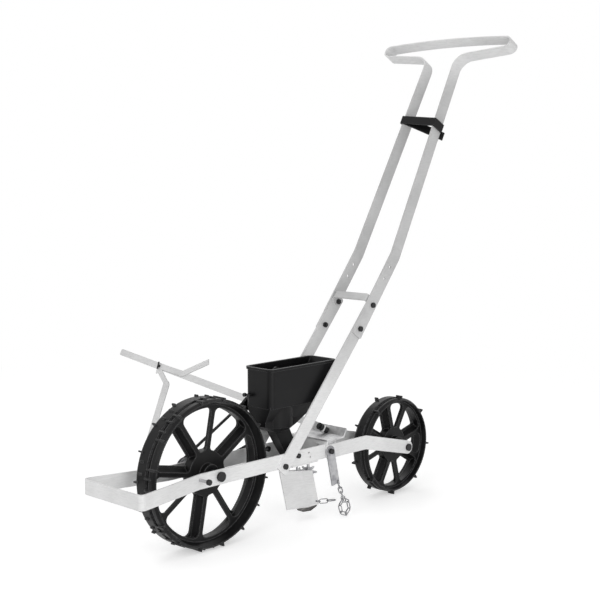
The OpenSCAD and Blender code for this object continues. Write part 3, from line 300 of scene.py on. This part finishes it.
standoffSet = {
    "zinc": (0.60, 0.60, 0.61), "dull": (0.34, 0.34, 0.35), "black": (0.012, 0.012, 0.013),
    "blackFrom": 0.071, "fade": 0.0004,  # out from the middle of the machine
    "roughness": 0.34, "edge": 0.0005, "depth": 0.00003,
    "patch": {"scale": 200.0, "detail": 3.0}, "fine": {"scale": 1500.0, "detail": 2.0},
    "patched": (0.35, 0.70), "patchShare": 0.5, "metallic": 0.9, "blackMetal": 0.6, "patchRoughness": 0.16,
}


def standoffZinc(s):
    # zinc along the shank, black on the outer end
    f = Finish("standoffZinc")
    patch = f.noise(**s["patch"])
    outer = axle.y - s["blackFrom"]
    black = 1.0 - f.spread(f.axis("Y"), outer - s["fade"], outer + s["fade"])
    shank = f.blend(f.spread(patch, *s["patched"]) * s["patchShare"], s["zinc"], s["dull"])
    f.put("Base Color", f.blend(black, shank, s["black"]))
    f.put("Metallic", s["metallic"] - s["blackMetal"] * black)
    f.put("Roughness", s["roughness"] + s["patchRoughness"] * patch)
    f.relief(f.noise(**s["fine"]), s["depth"], f.soft(s["edge"]))
    return f.done()


plasticSet = {
    "colour": (0.0055, 0.0055, 0.006), "specular": 0.16, "depth": 0.00006,
    "cloud": {"scale": 14.0, "detail": 5.0, "rough": 0.62},
    "rubs": {"scale": 85.0, "detail": 4.0, "rough": 0.68, "stretch": (1.0, 1.0, 2.5)},
    "clouded": (0.40, 0.72), "rubbed": (0.36, 0.62), "rubbedDull": (0.45, 0.70),
    "edgeShare": 0.45, "highlightAndScuffShare": 0.75, "dustRoughness": 0.16, "rubRoughness": 0.10, "rubHeight": 0.5,
    # in each kind, the lighter grey is a painted edge highlight as well as the colour of scuffs
    "wheels": {
        "dusty": (0.015, 0.0146, 0.0142), "highlightAndScuffTone": (0.12, 0.12, 0.122), "roughness": 0.36,
        "edge": 0.0040, "dust": 0.55, "grain": {"scale": 1100.0, "detail": 2.0, "rough": 0.5},
    },
    "hopper": {
        "dusty": (0.012, 0.0118, 0.0115), "highlightAndScuffTone": (0.080, 0.080, 0.082), "roughness": 0.34,
        "edge": 0.0026, "dust": 0.35, "grain": {"scale": 1500.0, "detail": 2.0, "rough": 0.5},
    },
}


def mouldedPlastic(name, s, kind):
    # black plastic with a fine grain, a little dust, and edges made lighter by a painted highlight and by scuffs
    p = s[kind]
    f = Finish(name)
    soft = f.soft(p["edge"])
    cloud = f.noise(**s["cloud"])
    rubs = f.noise(**s["rubs"])
    dusty = (f.spread(cloud, *s["clouded"]) * p["dust"]).clamped()
    # painted highlight along every edge, with real scuffs where the rubs cross an edge
    edgeHighlightAndScuffs = (f.edges(soft) * (s["edgeShare"] + f.spread(rubs, *s["rubbed"]))).clamped()
    dull = f.spread(rubs, *s["rubbedDull"])
    f.put("Base Color", f.blend(edgeHighlightAndScuffs * s["highlightAndScuffShare"], f.blend(dusty, s["colour"], p["dusty"]), p["highlightAndScuffTone"]))
    f.put("Roughness", p["roughness"] + s["dustRoughness"] * dusty + s["rubRoughness"] * dull)
    f.put("Specular IOR Level", s["specular"])
    f.relief(f.noise(**p["grain"]) + s["rubHeight"] * rubs, s["depth"], soft)
    return f.done()


rubberSet = {
    "colour": (0.006, 0.006, 0.006), "dusty": (0.020, 0.019, 0.018), "roughness": 0.62, "depth": 0.00008,
    "cloud": {"scale": 60.0, "detail": 4.0}, "fine": {"scale": 900.0, "detail": 3.0},
    "clouded": (0.42, 0.72), "dustShare": 0.7, "cloudRoughness": 0.12,
}


def beltRubber(s):
    f = Finish("beltRubber")
    cloud = f.noise(**s["cloud"])
    f.put("Base Color", f.blend(f.spread(cloud, *s["clouded"]) * s["dustShare"], s["colour"], s["dusty"]))
    f.put("Roughness", s["roughness"] + s["cloudRoughness"] * cloud)
    f.relief(f.noise(**s["fine"]), s["depth"])
    return f.done()


pulleySet = {
    "light": (0.60, 0.60, 0.61), "dark": (0.36, 0.36, 0.37),
    "metallic": 0.85, "roughness": 0.46, "edge": 0.0005, "depth": 0.00008,
    "cloud": {"scale": 110.0, "detail": 4.0}, "fine": {"scale": 700.0, "detail": 3.0},
    "clouded": (0.35, 0.68), "cloudRoughness": 0.15, "edgePolish": 0.1,
}


def castAlloy(s):
    f = Finish("castAlloy", metallic=s["metallic"])
    soft = f.soft(s["edge"])
    cloud = f.noise(**s["cloud"])
    f.put("Base Color", f.blend(f.spread(cloud, *s["clouded"]), s["light"], s["dark"]))
    f.put("Roughness", s["roughness"] + s["cloudRoughness"] * cloud - s["edgePolish"] * f.edges(soft))
    f.relief(f.noise(**s["fine"]), s["depth"], soft)
    return f.done()


nylonSet = {
    "light": (0.66, 0.61, 0.48), "dark": (0.50, 0.45, 0.33), "roughness": 0.5, "depth": 0.00005,
    "cloud": {"scale": 120.0, "detail": 3.0}, "fine": {"scale": 900.0, "detail": 2.0},
    "clouded": (0.35, 0.70), "cloudRoughness": 0.1,
}


def plainNylon(s):
    f = Finish("plainNylon")
    cloud = f.noise(**s["cloud"])
    f.put("Base Color", f.blend(f.spread(cloud, *s["clouded"]), s["light"], s["dark"]))
    f.put("Roughness", s["roughness"] + s["cloudRoughness"] * cloud)
    f.relief(f.noise(**s["fine"]), s["depth"])
    return f.done()


footSet = {
    "dark": (0.040, 0.038, 0.036), "rubbed": (0.30, 0.29, 0.28),
    "roughness": 0.45, "edge": 0.0009, "depth": 0.0001,
    "streaks": {"scale": 120.0, "detail": 5.0, "rough": 0.7, "stretch": (0.3, 1.0, 1.6)},
    "streaked": (0.45, 0.70), "edgeShare": 0.6, "metallic": 0.3, "rubbedMetal": 0.6, "streakRoughness": 0.2,
}


def rubbedIron(s):
    # dark iron that the soil has rubbed bright in streaks
    f = Finish("rubbedIron")
    soft = f.soft(s["edge"])
    streaks = f.noise(**s["streaks"])
    rubbed = (f.spread(streaks, *s["streaked"]) + f.edges(soft) * s["edgeShare"]).clamped()
    f.put("Base Color", f.blend(rubbed, s["dark"], s["rubbed"]))
    f.put("Metallic", s["metallic"] + s["rubbedMetal"] * rubbed)
    f.put("Roughness", s["roughness"] + s["streakRoughness"] * streaks)
    f.relief(streaks, s["depth"], soft)
    return f.done()


finishes = {
    "coated_steel": coatedSteel(coatSet),
    "zinc_steel": zincPlate("zincPlate", zincSet, "fittings"),
    "black_bolt": blackOxide(boltSet),
    "wheel_plastic": mouldedPlastic("wheelPlastic", plasticSet, "wheels"),
    "hopper_plastic": mouldedPlastic("hopperPlastic", plasticSet, "hopper"),
    "belt_rubber": beltRubber(rubberSet),
    "pulley_alloy": castAlloy(pulleySet),
    "roller_nylon": plainNylon(nylonSet),
    "foot_iron": rubbedIron(footSet),
}
# these nodes look unlike the rest of their slot
ownFinish = {
    "drag_chain": zincPlate("chainZinc", zincSet, "chain"),
    "drag_strap": zincPlate("strapZinc", zincSet, "strap"),
    "marker_plate": zincPlate("plateZinc", zincSet, "plate"),
    "standoff_bolt": standoffZinc(standoffSet),
}
slotOf = {part["node"]: part["material_slot"] for part in frame["record"]["subparts"]}
for name, piece in frame["nodes"].items():
    piece.data.materials.clear()
    piece.data.materials.append(ownFinish.get(name, finishes[slotOf[name]]))
print("finishes made:", len(finishes) + len(ownFinish))

pieceSet = {"mergeBelow": 0.00002, "sharpFrom": radians(60.0)}
acrossMachine = Vector((0, 1, 0))
upward = Vector((0, 0, 1))


def sortParts(bm):
    # the operators number what they make differently each run, so vertices, edges and faces go by place
    placed = {v: i for i, v in enumerate(sorted(bm.verts, key=lambda v: v.co[:]))}
    bm.verts.sort(key=placed.get)
    bm.verts.index_update()
    for parts in (bm.edges, bm.faces):
        inOrder = sorted(parts, key=lambda part: sorted(v.index for v in part.verts))
        placed = {part: i for i, part in enumerate(inOrder)}
        parts.sort(key=placed.get)


def keepPiece(name, bm, body, finish):
    bmesh.ops.remove_doubles(bm, verts=bm.verts, dist=pieceSet["mergeBelow"])
    bmesh.ops.recalc_face_normals(bm, faces=bm.faces)
    sortParts(bm)
    mesh = bpy.data.meshes.new(name)
    bm.to_mesh(mesh)
    bm.free()
    mesh.shade_smooth()
    mesh.set_sharp_from_angle(angle=pieceSet["sharpFrom"])
    mesh.materials.append(finish)
    piece = addObject(name, mesh)
    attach(piece, body)
    return piece


def wireCircle(bm, sides, radius):
    return bmesh.ops.create_circle(bm, segments=sides, radius=radius, cap_ends=False)["verts"]


def circleEdges(circle):
    # each edge once
    return list(dict.fromkeys(e for v in circle for e in v.link_edges))


def onlyEdges(made):
    return [g for g in made if isinstance(g, bmesh.types.BMEdge)]


def onlyVerts(made):
    return [g for g in made if isinstance(g, bmesh.types.BMVert)]


beltSet = {
    "radius": 0.0030, "driverRadius": 0.0165, "drivenRadius": 0.0465, "sag": 0.005,
    "sides": 14, "turnSteps": 26, "runSteps": 12,
}


def roundBelt(b):
    # a circle is spun round the small pulley, drawn along a run, and the same again at the large one
    driver, driven = axle.copy(), centre("seed_pulley")
    driver.y = driven.y = centre("drive_belt").y
    between = driven - driver
    slope = atan2(between.z, between.x)
    lean = asin((b["drivenRadius"] - b["driverRadius"]) / between.length)
    low, high = slope - lean - pi / 2, slope + lean + pi / 2
    lowWay, highWay = (Vector((cos(angle), 0, sin(angle))) for angle in (low, high))
    bm = bmesh.new()

    def turnRound(edges, middle, angle):
        made = bmesh.ops.spin(bm, geom=edges, cent=middle, axis=acrossMachine, angle=angle,
                              steps=b["turnSteps"], use_merge=False)
        return onlyEdges(made["geom_last"])

    def drawAlong(edges, move, sag):
        # each step drops less than the one before, and the last ones rise, so the run hangs in a curve
        steps = b["runSteps"]
        for k in range(steps):
            made = bmesh.ops.extrude_edge_only(bm, edges=edges)["geom"]
            drop = upward * (-4 * sag * (steps - 1 - 2 * k) / steps ** 2)
            bmesh.ops.translate(bm, verts=onlyVerts(made), vec=move / steps + drop)
            edges = [e for e in onlyEdges(made) if all(v in made for v in e.verts)]
        return edges

    start = driver + highWay * b["driverRadius"]
    across = Matrix.Rotation(pi / 2 - high, 4, "Y")
    circle = wireCircle(bm, b["sides"], b["radius"])
    for v in circle:
        # it stands across the run
        v.co = across @ Vector((0, v.co.x, v.co.y)) + start
    edges = turnRound(circleEdges(circle), driver, -(2 * pi - (high - low)))
    lowRun = driven + lowWay * b["drivenRadius"] - (driver + lowWay * b["driverRadius"])
    edges = turnRound(drawAlong(edges, lowRun, b["sag"]), driven, -(high - low))
    drawAlong(edges, start - (driven + highWay * b["drivenRadius"]), 0.0)
    belt = keepPiece("driveBelt", bm, "chassis", finishes["belt_rubber"])
    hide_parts("drive_belt")


roundBelt(beltSet)
print("belt made")

chainSet = {
    "wire": 0.00125, "length": 0.0150, "width": 0.0076, "pitch": 0.0120, "sides": 10, "turnSteps": 22,
    # the strap's hole, where the hanging links meet the heap, and how the links lie between them
    "hole": Vector((0.3194, -0.0519, 0.0782)), "meet": Vector((0.3378, -0.0532, 0.0335)),
    "ringDrop": 0.0036, "firstLink": 1.05, "spareLinks": 0.35, "hangTwist": 0.5,
    # the heap is a loop of links, this wide along its side and this high
    "heap": Vector((0.3378, -0.0550, 0.0200)), "side": Vector((0.70, -0.71, 0.0)),
    "wide": 0.0088, "high": 0.0140, "heapLinks": 6, "heapStart": 0.3, "heapTwist": 0.7,
}


def looseChain(c):
    # links hang from the strap and end in a loop of links that lies folded over
    bm = bmesh.new()

    def addLink(place, along, twist, half):
        # a wire circle is spun into a ring, which is drawn out by half at each end
        old = len(bm.verts)
        circle = wireCircle(bm, c["sides"], c["wire"])
        for v in circle:
            v.co = Vector((v.co.x + c["width"] / 2, 0, v.co.y))
        bmesh.ops.spin(bm, geom=circleEdges(circle), cent=Vector((0, 0, 0)), axis=upward,
                       angle=2 * pi, steps=c["turnSteps"], use_merge=True)
        turn = along.normalized().to_track_quat("X", "Z").to_matrix() @ Matrix.Rotation(twist, 3, "X")
        for v in list(bm.verts)[old:]:
            v.co.x += half if v.co.x > 0 else -half
            v.co = ground + place + turn @ v.co

    half = (c["length"] - c["width"]) / 2
    run = c["meet"] - c["hole"]
    count = round(run.length / c["pitch"])
    addLink(c["hole"] + run.normalized() * c["ringDrop"], run, 0.0, 0.0)
    for k in range(count):
        share = (k + c["firstLink"]) / (count + c["spareLinks"])
        addLink(c["hole"] + run * share, run, c["hangTwist"] + pi / 2 * (k % 2), half)
    wide, high = c["side"] * c["wide"], upward * c["high"]
    for k in range(c["heapLinks"]):
        angle = 2 * pi * (k + c["heapStart"]) / c["heapLinks"]
        addLink(c["heap"] + wide * cos(angle) + high * sin(angle), high * cos(angle) - wide * sin(angle),
                c["heapTwist"] + pi / 2 * (k % 2), half)
    chain = keepPiece("looseChain", bm, "strap", ownFinish["drag_chain"])
    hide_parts("hanging_chain")


looseChain(chainSet)
print("chain made")

studioSet = {
    "white": (1.0, 1.0, 1.0, 1.0), "skyGrey": (0.8, 0.8, 0.8, 1.0), "sky": 0.63,
    "floorSize": 14.0, "floor": 0.80, "floorRoughness": 0.9, "lift": 0.46,
    "cloud": {"scale": 3.0, "detail": 2.0}, "cloudTone": 0.96, "cloudShare": 0.04,
    "fadeOut": (0.7, 1.9),  # from the middle, where the shadows end and where all is white
    "lamps": [
        {"place": Vector((-2.5, -0.7, 1.7)), "aim": Vector((0.0, 0.0, 0.3)), "size": 1.8, "watts": 22.0},
        {"place": Vector((-0.5, -1.9, 0.5)), "aim": Vector((0.0, 0.0, 0.2)), "size": 1.0, "watts": 9.0},
        {"place": Vector((1.6, 1.8, 2.8)), "aim": Vector((0.0, 0.0, 0.4)), "size": 2.2, "watts": 18.0},
    ],
}


def floorPaint(s):
    # pale paint that takes the machine's shadow and goes over to white further out
    f = Finish("floorPaint", roughness=s["floorRoughness"])
    pale, faint = ((s["floor"] * tone,) * 3 for tone in (1.0, s["cloudTone"]))
    f.put("Base Color", f.blend(f.noise(**s["cloud"]) * s["cloudShare"], pale, faint))
    lift = f.node("ShaderNodeEmission", None, {"Color": s["white"], "Strength": s["lift"]})
    near = f.node("ShaderNodeAddShader", None, {0: f.shader, 1: lift})
    white = f.node("ShaderNodeEmission", None, {"Color": s["white"]})
    shown = f.mixShader(f.spread(f.place.length(), *s["fadeOut"]), near, white)
    return f.done(f.mixShader(f.seen(), f.shader, shown))


def addFloor(s):
    bm = bmesh.new()
    bmesh.ops.create_grid(bm, x_segments=1, y_segments=1, size=s["floorSize"])
    mesh = bpy.data.meshes.new("floor")
    bm.to_mesh(mesh)
    bm.free()
    mesh.materials.append(floorPaint(s))
    floor = addObject("floor", mesh)


def addSky(s):
    # grey light on the machine, white behind it
    world = bpy.data.worlds.new("studio")
    tree = Tree(world)
    grey = tree.node("ShaderNodeBackground", None, {"Color": s["skyGrey"], "Strength": s["sky"]})
    white = tree.node("ShaderNodeBackground", None, {"Color": s["white"]})
    tree.node("ShaderNodeOutputWorld", None, {"Surface": tree.mixShader(tree.seen(), grey, white)})
    bpy.context.scene.world = world


def addLamp(name, lamp):
    data = bpy.data.lights.new(name, "AREA")
    data.shape = "DISK"
    data.size = lamp["size"]
    data.energy = lamp["watts"]
    made = addObject(name, data)
    made.location = lamp["place"]
    made.rotation_euler = (lamp["aim"] - lamp["place"]).to_track_quat("-Z", "Y").to_euler()


addFloor(studioSet)
addSky(studioSet)
for i, lamp in enumerate(studioSet["lamps"]):
    addLamp("lamp%d" % i, lamp)
bpy.context.scene.view_settings.view_transform = "Standard"
print("studio lit")
